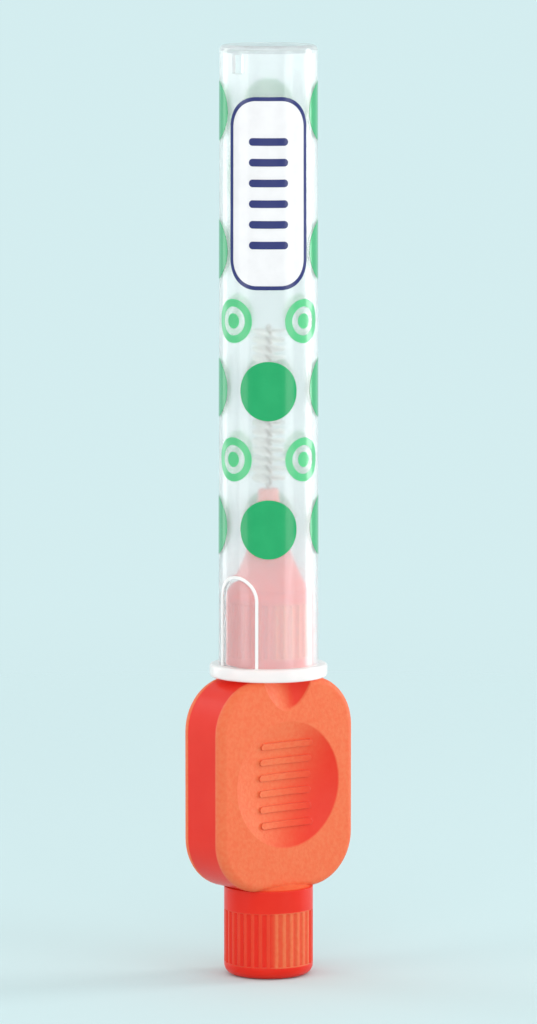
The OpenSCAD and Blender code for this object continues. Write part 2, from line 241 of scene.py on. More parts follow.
class PrintSizes(bpy.types.PropertyGroup):
    """Sizes, places and colours of the print on the cap."""

    ink_t: length("Ink thickness", "How far the ink stands proud of the wall", 0.015)
    label_w: length("Label width", "Width of the label along the wall", 5.6)
    label_h: length("Label height", "Height of the label", 12.6)
    label_corner: length("Label corner", "Corner radius of the label", 2.0)
    label_rim: length("Label rim", "Width of the label's dark rim", 0.26)
    label_drop: length("Label drop", "Distance from the closed end to the label's centre", 9.6)
    bar_count: whole("Bars", "Plain bars on the label", 6, 0, 12)
    bar_w: length("Bar length", "Length of a bar on the label", 2.6)
    bar_h: length("Bar width", "Width of a bar on the label", 0.5)
    bar_pitch: length("Bar pitch", "Distance from bar to bar", 1.35)
    turn: degrees("Label turn", "Turn of the label's centre about the cap", 233)
    row_pitch: length("Row pitch", "Distance from one row of the pattern to the next", 4.55)
    columns: whole("Columns", "Motifs in one row round the cap", 4, 2, 8)
    disc_d: length("Disc diameter", "Diameter of the large discs", 3.9)
    ring_d: length("Ring diameter", "Outer diameter of the rings", 2.9)
    ring_w: length("Ring width", "Width of the rings' stroke", 0.5)
    dot_d: length("Dot diameter", "Diameter of the dots", 1.0)
    white: colour("White", "White ink", (0.85, 0.835, 0.845))
    blue: colour("Dark blue", "Dark blue ink", (0.02, 0.025, 0.15))
    green: colour("Green", "Deep green ink", (0.004, 0.37, 0.12))
    green_light: colour("Light green", "Light green ink", (0.09, 0.54, 0.22))


class StageLooks(bpy.types.PropertyGroup):
    """Floor, light and camera."""

    floor: colour("Floor", "Pale colour of the floor and background", (0.66, 0.85, 0.87))
    ambient: share("Ambient", "Strength of the light from all round", 0.71)
    azimuth: degrees("Azimuth", "Camera's turn about the object", -37)
    elevation: degrees("Elevation", "Camera's angle above the horizon", 6.5)
    lens: FloatProperty(name="Lens", description="Focal length", default=240, min=20, unit="CAMERA")
    fill: share("Fill", "Share of the picture's height that the object takes", 0.92)


def set_sockets(node, values):
    """Gives a node's inputs, by name or number, a value each, or a link where the value is a socket."""
    for key, value in values.items():
        if hasattr(value, "links"):
            node.id_data.links.new(value, node.inputs[key])
        else:
            node.inputs[key].default_value = value


def make_node(tree, kind, values=None, **settings):
    """Adds one node with its own settings and the values or links of its inputs."""
    node = tree.nodes.new(kind)
    for name, value in settings.items():
        setattr(node, name, value)
    set_sockets(node, values or {})
    return node


def shader_group(name, inputs, outputs):
    """Returns an empty shader node group with its input and output nodes."""
    group = bpy.data.node_groups.new(name, "ShaderNodeTree")
    for socket, kind, default in inputs:
        item = group.interface.new_socket(socket, in_out="INPUT", socket_type=kind)
        item.default_value = default
    for socket, kind in outputs:
        group.interface.new_socket(socket, in_out="OUTPUT", socket_type=kind)
    return group, group.nodes.new("NodeGroupInput"), group.nodes.new("NodeGroupOutput")


def noise_at(tree, scale, detail):
    """Noise on Object coordinates with its scale from a socket, as its node."""
    place = make_node(tree, "ShaderNodeTexCoord").outputs["Object"]
    return make_node(tree, "ShaderNodeTexNoise", {"Vector": place, "Scale": scale, "Detail": detail})


def colour_drift_group():
    """Slow change between two colours over the piece."""
    group, source, sink = shader_group(
        "Colour drift",
        [
            ("First", "NodeSocketColor", (1, 1, 1, 1)),
            ("Second", "NodeSocketColor", (0, 0, 0, 1)),
            ("Scale", "NodeSocketFloat", 100.0),
        ],
        [("Color", "NodeSocketColor")],
    )
    noise = noise_at(group, source.outputs["Scale"], 3.0)
    limits = {"Value": noise.outputs["Fac"], "From Min": 0.35, "From Max": 0.65}
    spread = make_node(group, "ShaderNodeMapRange", limits).outputs["Result"]
    mixed = mix_colour(group, spread, source.outputs["First"], source.outputs["Second"])
    set_sockets(sink, {"Color": mixed})
    return group


def fine_grain_group():
    """Fine grain of a mould: a height for bump and a roughness about a mean."""
    group, source, sink = shader_group(
        "Fine grain",
        [
            ("Scale", "NodeSocketFloat", 5000.0),
            ("Roughness", "NodeSocketFloat", 0.4),
            ("Change", "NodeSocketFloat", 0.1),
        ],
        [("Height", "NodeSocketFloat"), ("Roughness", "NodeSocketFloat")],
    )
    height = noise_at(group, source.outputs["Scale"], 2.0).outputs["Fac"]
    change = math_node(group, "SUBTRACT", height, 0.5)
    values = {0: change, 1: source.outputs["Change"], 2: source.outputs["Roughness"]}
    scaled = make_node(group, "ShaderNodeMath", values, operation="MULTIPLY_ADD", use_clamp=True)
    set_sockets(sink, {"Height": height, "Roughness": scaled.outputs[0]})
    return group


def soft_edge_group():
    """Mask of sharp edges, used for a painted highlight along them, and a normal that is rounded over them.
    """
    group, source, sink = shader_group(
        "Soft edges",
        [("Radius", "NodeSocketFloat", 0.0001)],
        [("Mask", "NodeSocketFloat"), ("Normal", "NodeSocketVector")],
    )
    bevel = make_node(group, "ShaderNodeBevel", {"Radius": source.outputs["Radius"]}, samples=6)
    rounded = bevel.outputs["Normal"]
    own = make_node(group, "ShaderNodeNewGeometry").outputs["Normal"]
    dot = make_node(group, "ShaderNodeVectorMath", {0: rounded, 1: own}, operation="DOT_PRODUCT")
    limits = {"Value": dot.outputs["Value"], "From Min": 0.995, "From Max": 0.8}
    mask = make_node(group, "ShaderNodeMapRange", limits)
    set_sockets(sink, {"Mask": mask.outputs["Result"], "Normal": rounded})
    return group


def shared_group(name):
    """The named effect, built the first time that it is asked for."""
    makers = {
        "Colour drift": colour_drift_group,
        "Fine grain": fine_grain_group,
        "Soft edges": soft_edge_group,
    }
    return bpy.data.node_groups.get(name) or makers[name]()


def use_group(tree, name, values):
    """Places a shared effect in a material with its own values."""
    return make_node(tree, "ShaderNodeGroup", values, node_tree=shared_group(name))


def new_material(name):
    """A material with a Principled shader, as (material, its tree, the shader)."""
    material = bpy.data.materials.new(name)
    material.use_nodes = True
    tree = material.node_tree
    return material, tree, tree.nodes["Principled BSDF"]


def opaque(rgb):
    """A colour with full alpha."""
    return (*rgb, 1.0)


def bump_from(shader, height, strength, distance, under=None):
    """Bumps the shader by a height, over another normal if one is given."""
    values = {"Height": height, "Strength": strength, "Distance": distance}
    if under is not None:
        values["Normal"] = under
    bump = make_node(shader.id_data, "ShaderNodeBump", values)
    set_sockets(shader, {"Normal": bump.outputs["Normal"]})


def math_node(tree, operation, first, second=0.0):
    """The result's socket of an operation on values that are each a socket or a number."""
    return make_node(tree, "ShaderNodeMath", {0: first, 1: second}, operation=operation).outputs[0]


def times(tree, product, *factors):
    """The product of values that are each a socket or a number, as its socket."""
    for factor in factors:
        product = math_node(tree, "MULTIPLY", product, factor)
    return product


def soft_step(tree, value, start, end):
    """0 before the start and 1 past the end, with a smooth change between them."""
    limits = {"Value": value, "From Min": start, "From Max": end}
    return make_node(tree, "ShaderNodeMapRange", limits, interpolation_type="SMOOTHSTEP").outputs["Result"]


def between(tree, value, low, high, soft):
    """1 between two heights or distances and 0 outside them, with a smooth change just inside each."""
    above = soft_step(tree, value, low, low + soft)
    below = soft_step(tree, value, high, high - soft)
    return times(tree, above, below)


def mix_with_clear(shader, factor, rgb=(1.0, 1.0, 1.0)):
    """Mixes a material's shader with clear film of a colour, by the factor's socket."""
    tree = shader.id_data
    clear = make_node(tree, "ShaderNodeBsdfTransparent", {"Color": opaque(rgb)})
    mix = make_node(tree, "ShaderNodeMixShader", {0: factor, 1: shader.outputs[0], 2: clear.outputs[0]})
    set_sockets(tree.nodes["Material Output"], {"Surface": mix.outputs[0]})


def let_lamps_in(shader, lamp_share):
    """Lets a share of the lamps' light through each surface of a see-through material."""
    path = make_node(shader.id_data, "ShaderNodeLightPath")
    mix_with_clear(shader, path.outputs["Is Shadow Ray"], [lamp_share] * 3)


class GripPlace:
    """Where a point of the grip lies, as sockets in a material."""

    def __init__(self, tree):
        self.point = make_node(tree, "ShaderNodeTexCoord").outputs["Object"]
        self.x, self.y, self.z = make_node(tree, "ShaderNodeSeparateXYZ", {0: self.point}).outputs
        self.aside = math_node(tree, "ABSOLUTE", self.x)
        self.depth = math_node(tree, "ABSOLUTE", self.y)


def reach_from(tree, point, centre, axes):
    """Distance of a point from a centre along the axes that are 1, as its socket."""
    away = make_node(tree, "ShaderNodeVectorMath", {0: point, 1: centre}, operation="SUBTRACT")
    kept = make_node(tree, "ShaderNodeVectorMath", {0: away.outputs[0], 1: axes}, operation="MULTIPLY")
    reach = make_node(tree, "ShaderNodeVectorMath", {0: kept.outputs[0]}, operation="LENGTH")
    return reach.outputs["Value"]


def painted_shade_mask(tree, at, looks):
    """Painted shade: 1 on the right side of each dish and scoop on either face, where shade in the recess
    is painted as the smooth red.
    """
    soft = 0.1 * MM
    middle_z = (looks.pad_low + looks.pad_high) / 2
    dish_r = looks.dish_d / 2
    from_middle = reach_from(tree, at.point, (0, 0, middle_z), (1, 0, 1))
    in_dish = soft_step(tree, from_middle, dish_r + soft, dish_r - soft)
    sunk = soft_step(tree, at.depth, looks.pad_t / 2 - 0.2 * soft, looks.pad_t / 2 - soft)
    near_middle = soft_step(tree, at.aside, looks.scoop_w / 2 + 3 * soft, looks.scoop_w / 2 + soft)
    scoop_foot = looks.pad_high - looks.scoop_len
    near_top = soft_step(tree, at.z, scoop_foot - 3 * soft, scoop_foot - soft)

    left = times(tree, at.x, math_node(tree, "SIGN", at.y))
    rise = math_node(tree, "SUBTRACT", at.z, middle_z)
    upper_left = math_node(tree, "ADD", left, times(tree, rise, looks.shade_lean))
    dish_side = soft_step(tree, upper_left, looks.dish_start, -looks.dish_full)
    scoop_side = soft_step(tree, left, looks.scoop_start, -looks.scoop_full)
    dish = times(tree, in_dish, dish_side)
    scoop = times(tree, sunk, near_middle, near_top, scoop_side)
    return math_node(tree, "MAXIMUM", dish, scoop)


def face_mask(tree, at, looks):
    """1 on the pad's grained faces, whose paler red is partly grain and partly painted sheen, less where
    shade is painted on the dish and scoop, and 0 on the smooth rest.
    """
    soft = 0.12 * MM
    on_face = soft_step(tree, at.depth, looks.face_y, looks.face_y + soft)
    on_pad = between(tree, at.z, looks.pad_low, looks.pad_high, soft)
    shade_amount = times(tree, painted_shade_mask(tree, at, looks), looks.painted_shade)
    return times(tree, on_face, on_pad, math_node(tree, "SUBTRACT", 1.0, shade_amount))


def rib_sheen_mask(tree, at, looks):
    """Painted sheen: up to 1 on the front and back patches of ribs, faint on the other ribs, and 0
    elsewhere.
    """
    soft = 0.1 * MM
    faint = 0.2
    hollow = 0.5
    crown_r = looks.collar_d / 2
    reach = reach_from(tree, at.point, (0, 0, 0), (1, 1, 0))
    crown = soft_step(tree, reach, crown_r - looks.rib_depth, crown_r)
    in_sheen_patch = soft_step(tree, at.aside, looks.rib_sheen_patch + 3 * soft, looks.rib_sheen_patch - 3 * soft)
    lit = math_node(tree, "ADD", times(tree, crown, 1 - hollow), hollow)
    ribs = math_node(tree, "MAXIMUM", times(tree, in_sheen_patch, lit), times(tree, crown, faint))
    collars = []
    for foot in (looks.low_ribs, looks.high_ribs):
        top = foot + looks.rib_len
        collars.append(between(tree, at.z, foot - soft, top + soft, soft))
    return times(tree, ribs, math_node(tree, "MAXIMUM", *collars))


def mix_colour(tree, factor, first, second):
    """Mixes two colours, each a socket or a colour with alpha, as the result's socket."""
    return make_node(tree, "ShaderNodeMix", {0: factor, 6: first, 7: second}, data_type="RGBA").outputs[2]


def grip_material(looks):
    """Satin red plastic, paler on its grained faces and ribs, partly for the grain and partly as painted
    sheen, with painted shade on the right of the dish and scoop, a painted glow at the neck's thin tip and
    a painted highlight along its edges.
    """
    material, tree, shader = new_material("red moulding")
    at = GripPlace(tree)
    smooth = {"First": opaque(looks.body), "Second": opaque(looks.body_light), "Scale": 420.0}
    speckled = {
        "First": opaque(looks.grain_and_sheen),
        "Second": opaque(looks.speckle),
        "Scale": 1 / looks.speckle_size,
    }
    on_face = face_mask(tree, at, looks)
    # Paler where grained: partly the grain's own finish and partly painted sheen, on the faces and the
    # ribs.
    grain_and_sheen = math_node(tree, "MAXIMUM", on_face, rib_sheen_mask(tree, at, looks))
    # Painted glow: paler toward the thin tip, for light shining through it.
    tip_glow_share = soft_step(tree, at.z, handle_high.z - looks.neck_fade, handle_high.z)
    edges = use_group(tree, "Soft edges", {"Radius": looks.edge})
    # Painted highlight along sharp edges.
    edge_highlight_share = times(tree, edges.outputs["Mask"], looks.edge_highlight_share)
    drifts = [use_group(tree, "Colour drift", values).outputs["Color"] for values in (smooth, speckled)]
    finish = mix_colour(tree, grain_and_sheen, *drifts)
    finish = mix_colour(tree, tip_glow_share, finish, opaque(looks.tip_glow))
    finish = mix_colour(tree, edge_highlight_share, finish, opaque(looks.rim))

    grain = {"Scale": 1 / looks.grain, "Roughness": looks.roughness, "Change": 0.2}
    fine = use_group(tree, "Fine grain", grain)
    rougher = times(tree, grain_and_sheen, looks.grained_roughness - looks.roughness)
    height = times(tree, fine.outputs["Height"], math_node(tree, "ADD", on_face, 0.15))
    bump_from(shader, height, 0.5, 0.03 * MM, edges.outputs["Normal"])
    values = {
        "Base Color": finish,
        "Roughness": math_node(tree, "ADD", fine.outputs["Roughness"], rougher),
        "Specular IOR Level": 0.25,
        "Subsurface Weight": 0.12,
        "Subsurface Radius": (1.0, 0.22, 0.14),
        "Subsurface Scale": looks.glow_depth,
        "IOR": PLASTIC_IOR,
    }
    set_sockets(shader, values)
    return material


def grained_finish(name, first, second, drift_scale, grain, bump=None):
    """A material and its shader: two drifting colours, a grain of scale, roughness and change, and bump."""
    material, tree, shader = new_material(name)
    colours = {"First": opaque(first), "Second": opaque(second), "Scale": drift_scale}
    drift = use_group(tree, "Colour drift", colours)
    fine = use_group(tree, "Fine grain", dict(zip(("Scale", "Roughness", "Change"), grain)))
    set_sockets(shader, {"Base Color": drift.outputs["Color"], "Roughness": fine.outputs["Roughness"]})
    if bump:
        bump_from(shader, fine.outputs["Height"], *bump)
    return material, shader


def wire_material(sizes):
    """Thinly coated stainless wire with fine drawing marks."""
    darker = [0.78 * c for c in sizes.metal]
    grain = (16000.0, 0.34, 0.3)
    material, shader = grained_finish("coated wire", sizes.metal, darker, 2500.0, grain, (0.3, 0.004 * MM))
    set_sockets(shader, {"Metallic": 0.85, "Coat Weight": 0.4, "Coat Roughness": 0.2})
    return material


def nylon_material(sizes):
    """Off-white nylon that lets light into its ends and lets the lamps' light go on."""
    duller = [0.98 * c for c in sizes.nylon]
    grain = (12000.0, 0.42, 0.2)
    material, shader = grained_finish("nylon filament", sizes.nylon, duller, 6000.0, grain)
    glow = {"Subsurface Weight": 0.5, "Subsurface Radius": (1.0, 0.97, 0.92), "Subsurface Scale": 0.08 * MM}
    set_sockets(shader, glow)
    let_lamps_in(shader, sizes.lamp_share)
    return material


def cap_material(name, sizes, tint, clearness):
    """Milky, see-through plastic with a faint frosting, which lets the lamps' light in."""
    duller = [0.98 * c for c in tint]
    grain = (2600.0, sizes.roughness, 0.12)
    material, shader = grained_finish(name, tint, duller, 260.0, grain, (0.12, 0.01 * MM))
    set_sockets(shader, {"Transmission Weight": clearness, "IOR": PLASTIC_IOR})
    let_lamps_in(shader, sizes.lamp_share)
    return material


def ink_material(name, rgb):
    """Screen-printed ink with a slightly uneven film."""
    lighter = [min(1.0, 1.05 * c + 0.003) for c in rgb]
    grain = (5200.0, 0.24, 0.08)
    material, shader = grained_finish(name, rgb, lighter, 900.0, grain, (0.06, 0.003 * MM))
    set_sockets(shader, {"Specular IOR Level": 0.3, "Coat Weight": 0.4, "Coat Roughness": 0.12})
    return material


def to_mesh(bm, name):
    """Turns a bmesh into a mesh and frees it."""
    mesh = bpy.data.meshes.new(name)
    bm.to_mesh(mesh)
    bm.free()
    return mesh


def to_object(bm, name, materials, body):
    """Turns a bmesh into a finished piece that rides on a body."""
    bmesh.ops.remove_doubles(bm, verts=bm.verts, dist=WELD)
    bmesh.ops.recalc_face_normals(bm, faces=bm.faces)
    for face in bm.faces:
        face.smooth = True
    for edge in bm.edges:
        edge.smooth = not edge.is_manifold or edge.calc_face_angle() < SHARP
    mesh = to_mesh(bm, name)
    for material in materials:
        mesh.materials.append(material)
    piece = bpy.data.objects.new(name, mesh)
    bpy.context.scene.collection.objects.link(piece)
    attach(piece, body)
    return piece


class BRUSH_OT_grip(bpy.types.Operator):
    """Gives the moulded grip its red plastic"""

    bl_idname = "interdental.grip"
    bl_label = "Finish grip"

    def execute(self, context):
        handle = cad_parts["handle"]
        handle.data.materials.clear()
        handle.data.materials.append(grip_material(context.scene.grip_looks))
        return {"FINISHED"}


def twist_at(z, sizes):
    """Angle of the twist at a height. It turns to the left going up."""
    return -math.tau * (z - (handle_high.z - sizes.seat)) / sizes.pitch


def twist_leg(bm, ring, z_from, z_to, sizes):
    """Screws a ring of the wire down along the twist."""
    steps = math.ceil((z_from - z_to) / sizes.pitch * sizes.turn_steps)
    bmesh.ops.spin(
        bm,
        geom=ring,
        cent=(0, 0, 0),
        axis=(0, 0, 1),
        dvec=(0, 0, (z_to - z_from) / steps),
        angle=twist_at(z_to, sizes) - twist_at(z_from, sizes),
        steps=steps,
    )


class BRUSH_OT_wire(bpy.types.Operator):
    """Bends the wire into a hairpin and twists its two legs"""

    bl_idname = "interdental.wire"
    bl_label = "Twist wire"

    def execute(self, context):
        sizes = context.scene.wire_sizes
        leg_r = sizes.spread / 2
        top = brush_high.z + sizes.past
        bottom = handle_high.z - sizes.seat
        lean = math.atan(math.tau * leg_r / sizes.pitch)
        bm = bmesh.new()
        made = bmesh.ops.create_circle(bm, segments=sizes.sides, radius=sizes.diameter / 2)
        turn = Matrix.Rotation(twist_at(top, sizes), 4, "Z")
        seat = Matrix.Translation((leg_r, 0, 0)) @ Matrix.Rotation(lean, 4, "X")
        bmesh.ops.transform(bm, matrix=Matrix.Translation((0, 0, top)) @ turn @ seat, verts=made["verts"])
        ring = list(bm.verts) + list(bm.edges)
        bend = bmesh.ops.spin(
            bm,
            geom=ring,
            cent=(0, 0, top),
            axis=turn @ Vector((0, -1, 0)),
            angle=math.pi,
            steps=sizes.bend_steps,
        )
        other_ring = [e for e in bend["geom_last"] if not isinstance(e, bmesh.types.BMFace)]
        twist_leg(bm, ring, top, bottom, sizes)
        twist_leg(bm, other_ring, top, bottom, sizes)
        bmesh.ops.holes_fill(bm, edges=[e for e in bm.edges if e.is_boundary], sides=sizes.sides)
        piece = to_object(bm, "hairpin_wire", [wire_material(sizes)], "brush")
        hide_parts("twisted_wire")
        return {"FINISHED"}


class BRUSH_OT_bristles(bpy.types.Operator):
    """Sets the filaments between the legs of the wire"""

    bl_idname = "interdental.bristles"
    bl_label = "Set bristles"

    def execute(self, context):
        sizes = context.scene.bristle_sizes
        wire = context.scene.wire_sizes
        draw = random.Random(7)
        reach = brush_high.x
        bm = bmesh.new()
        for i in range(sizes.count):
            z = brush_low.z + (i + draw.random()) / sizes.count * (brush_high.z - brush_low.z)
            short, long = (reach - sizes.spare * draw.random() for _ in range(2))
            spin = twist_at(z, wire) + math.pi / 2 + draw.gauss(0, sizes.fan)
            tilt = draw.gauss(0, sizes.tilt)
            aim = Matrix.Rotation(spin, 4, "Z") @ Matrix.Rotation(math.pi / 2 + tilt, 4, "Y")
            off_centre = Matrix.Translation((0, 0, (long - short) / 2))
            bmesh.ops.create_cone(
                bm,
                cap_ends=True,
                segments=sizes.sides,
                radius1=sizes.diameter / 2,
                radius2=sizes.diameter / 2,
                depth=short + long,
                matrix=Matrix.Translation((0, 0, z)) @ aim @ off_centre,
            )
        for v in bm.verts:
            v.co.z = min(max(v.co.z, brush_low.z), brush_high.z)
        piece = to_object(bm, "filaments", [nylon_material(sizes)], "brush")
        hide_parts("bristles")
        return {"FINISHED"}


def arc(centre, radius, start, end, steps):
    """Points of an arc in the profile's plane, with angles in degrees."""
    for i in range(steps + 1):
        a = math.radians(start + (end - start) * i / steps)
        yield centre[0] + radius * math.cos(a), centre[1] + radius * math.sin(a)


def run(start, end, steps):
    """Points from just after one point up to another."""
    for i in range(1, steps + 1):
        yield tuple(a + (b - a) * i / steps for a, b in zip(start, end))


def wall_radius(z, sizes):
    """Outer radius of the cap's wall at a height."""
    mouth_r = sizes.bore_d / 2 + sizes.wall
    full = cap_high.z - sizes.end_round - cap_low.z
    return mouth_r - sizes.draft * min(1.0, (z - cap_low.z) / full)


def cap_profile(sizes):
    """Half outline of the cap, from the closed end's outside round the flange to its inside."""
    z0 = cap_low.z
    z1 = cap_high.z
    flange_r = cap_high.x
    end_r = wall_radius(z1, sizes)
    vent_top = z1 - sizes.vent_drop
    vent_bottom = vent_top - sizes.vent_h
    flange_top = z0 + sizes.flange_h
    arch_top = flange_top + sizes.arch_h + 2 * sizes.arch_edge
    bore_r = sizes.bore_d / 2
    end_bore_r = bore_r - sizes.draft
    roof = z1 - sizes.end_wall
    mouth_edge = 0.06 * MM
    arch_rows = round((arch_top - flange_top) / sizes.row_h)

    def outer(z):
        return wall_radius(z, sizes), z

    def inner(z):
        return bore_r - sizes.draft * (z - z0) / (roof - z0), z

    points = [(0, z1), (end_r / 2, z1)]
    points += arc((end_r - sizes.end_round, z1 - sizes.end_round), sizes.end_round, 90, 0, 8)
    points += run(outer(z1 - sizes.end_round), outer(vent_top), 2)
    points += run(outer(vent_top), outer(vent_bottom), 6)
    points += run(outer(vent_bottom), outer(arch_top), 24)
    points += run(outer(arch_top), outer(flange_top), arch_rows)
    rim = flange_r - sizes.flange_round
    points += arc((rim, flange_top - sizes.flange_round), sizes.flange_round, 90, 0, 6)
    points += arc((rim, z0 + sizes.flange_round), sizes.flange_round, 0, -90, 6)
    points += [(bore_r + mouth_edge, z0), (bore_r, z0 + mouth_edge)]
    points += run(inner(z0 + mouth_edge), inner(vent_bottom), 20)
    points += run(inner(vent_bottom), inner(vent_top), 6)
    points += [(end_bore_r, roof), (end_bore_r / 2, roof), (0, roof)]
    return points


def arch_shift(u, h, sizes):
    """How far the wall moves out on the arched panel, at u across it and h up from the flange."""
    half = sizes.arch_w / 2
    over = h - (sizes.arch_h - half)
    inside = half - (math.hypot(u, over) if over > 0 else abs(u))
    step = min(1.0, max(0.0, inside / sizes.arch_edge))
    from_bead = 2 * (inside + sizes.bead_out) / sizes.arch_edge
    bead = sizes.arch_bead * math.exp(-(from_bead**2))
    return bead - sizes.arch_depth * step * step * (3 - 2 * step)


def angle_from(point, middle):
    """Turn of a point about the axis from a middle direction, between half turns."""
    return (math.atan2(point.y, point.x) - middle + math.pi) % math.tau - math.pi


def on_wall(point, sizes):
    """Whether a point lies on the cap's outer wall."""
    return abs(point.xy.length - wall_radius(point.z, sizes)) < SKIN


def press_arch(bm, side, sizes):
    """Presses the arched panel of one side into the outer wall."""
    flange_top = cap_low.z + sizes.flange_h
    for v in bm.verts:
        h = v.co.z - flange_top
        if on_wall(v.co, sizes) and 0 < h < sizes.arch_h + 3 * sizes.arch_edge:
            radius = v.co.xy.length
            u = angle_from(v.co, side) * radius
            if abs(u) < sizes.arch_w:
                scale = 1 + arch_shift(u, h, sizes) / radius
                v.co.x *= scale
                v.co.y *= scale


def wall_kind(point, sides, sizes):
    """0 on the plain wall, 1 on the flange, and 2 inside a panel."""
    flange_top = cap_low.z + sizes.flange_h
    radius = point.xy.length
    if point.z < flange_top + SKIN / 2:
        return 1 if radius > sizes.bore_d / 2 + SKIN / 2 else 0
    if not on_wall(point, sizes):
        return 0
    for side in sides:
        shift = arch_shift(angle_from(point, side) * radius, point.z - flange_top, sizes)
        if shift < -0.5 * sizes.arch_depth:
            return 2
    return 0


def cut_vent(bm, side, sizes):
    """Opens the air slot of one side through both walls."""
    vent_top = cap_high.z - sizes.vent_drop
    half = math.pi * sizes.vent_columns / sizes.columns
    window = []
    for face in bm.faces:
        middle = face.calc_center_median()
        if vent_top - sizes.vent_h < middle.z < vent_top and abs(angle_from(middle, side)) < half:
            window.append(face)
    bmesh.ops.delete(bm, geom=window, context="FACES")
    bmesh.ops.bridge_loops(bm, edges=[e for e in bm.edges if e.is_boundary])


def rounded_outline(bm, width, height, corner):
    """Closed outline of a rectangle with round corners in the XY plane, as its edges."""
    segments = 48
    before = set(bm.edges)
    made = bmesh.ops.create_circle(
        bm,
        segments=segments,
        radius=corner,
        matrix=Matrix.Rotation(math.pi / segments, 4, "Z"),
    )
    for v in made["verts"]:
        v.co.x += math.copysign(width / 2 - corner, v.co.x)
        v.co.y += math.copysign(height / 2 - corner, v.co.y)
    return [e for e in bm.edges if e not in before]


def flat_patch(width, height, corner, stroke=0.0):
    """A flat shape of ink as a bmesh: a full patch, or its outline with a given stroke."""
    bm = bmesh.new()
    edges = rounded_outline(bm, width, height, corner)
    if stroke:
        edges += rounded_outline(bm, width - 2 * stroke, height - 2 * stroke, corner - stroke)
        bmesh.ops.bridge_loops(bm, edges=edges)
    else:
        bmesh.ops.contextual_create(bm, geom=edges)
    return bm


def disc_patch(diameter, stroke=0.0):
    """A flat disc of ink, or a ring with a given stroke."""
    return flat_patch(diameter, diameter, diameter / 2.001, stroke)


def cut_across(bm, point, normal, clear_behind=False):
    """Cuts a mesh along a plane, and may clear what lies behind it."""
    bmesh.ops.bisect_plane(
        bm,
        geom=list(bm.verts) + list(bm.edges) + list(bm.faces),
        plane_co=point,
        plane_no=normal,
        dist=0.001 * MM,
        clear_inner=clear_behind,
    )


def wrap_patch(bm, turn, z, sizes, low, high):
    """Slices a flat patch, gives it its thickness and bends it round the cap's wall."""
    slice_w = 0.2 * MM
    widest = max(v.co.x for v in bm.verts)
    slices = max(2, round(2 * widest / slice_w))
    for i in range(1, slices):
        cut_across(bm, (widest * (2 * i / slices - 1), 0, 0), (1, 0, 0))
    raised = bmesh.ops.extrude_face_region(bm, geom=list(bm.faces), use_keep_orig=True)
    top = {e for e in raised["geom"] if isinstance(e, bmesh.types.BMVert)}
    middle_r = wall_radius(z, sizes)
    for v in bm.verts:
        height = z + v.co.y
        angle = turn + v.co.x / middle_r
        radius = wall_radius(height, sizes) + (high if v in top else low)
        v.co = (radius * math.cos(angle), radius * math.sin(angle), height)


class WrappedLayer:
    """Patches of one material that lie round the cap's wall, gathered into one piece."""

    def __init__(self, name, material, cap, low, high):
        self.name = name
        self.material = material
        self.cap = cap
        self.low = low
        self.high = high
        self.bm = bmesh.new()

    def add(self, patch, turn, z):
        """Wraps a patch round the cap at a turn and a height, and adds it to the layer."""
        wrap_patch(patch, turn, z, self.cap, self.low, self.high)
        mesh = to_mesh(patch, "patch")
        self.bm.from_mesh(mesh)
        bpy.data.meshes.remove(mesh)

    def finish(self):
        """Makes the layer a piece on the cap."""
        return to_object(self.bm, self.name, [self.material], "cap")


def ink_layer(name, rgb, cap, ink_t, lift=0.0):
    """A layer of ink on the cap's wall, or on other ink at a lift."""
    material = ink_material(name.replace("_", " "), rgb)
    return WrappedLayer(name, material, cap, lift - 0.004 * MM, lift + ink_t)


def panel_bead(sizes):
    """The bead round an arched panel as a flat patch, from just under the flange's top up."""
    half = sizes.arch_w / 2 + sizes.bead_out + sizes.bead_w / 2
    tall = sizes.arch_h + sizes.bead_out + sizes.bead_w / 2
    bm = flat_patch(2 * half, 2 * tall, half / 1.001, sizes.bead_w)
    cut_across(bm, (0, -0.1 * MM, 0), (0, 1, 0), True)
    return bm


def soften_edges(piece):
    """Rounds a piece's sharp edges a little."""
    bevel = piece.modifiers.new("Soft edges", "BEVEL")
    bevel.limit_method = "ANGLE"
    bevel.angle_limit = math.radians(40)
    bevel.width = 0.03 * MM
    bevel.segments = 2


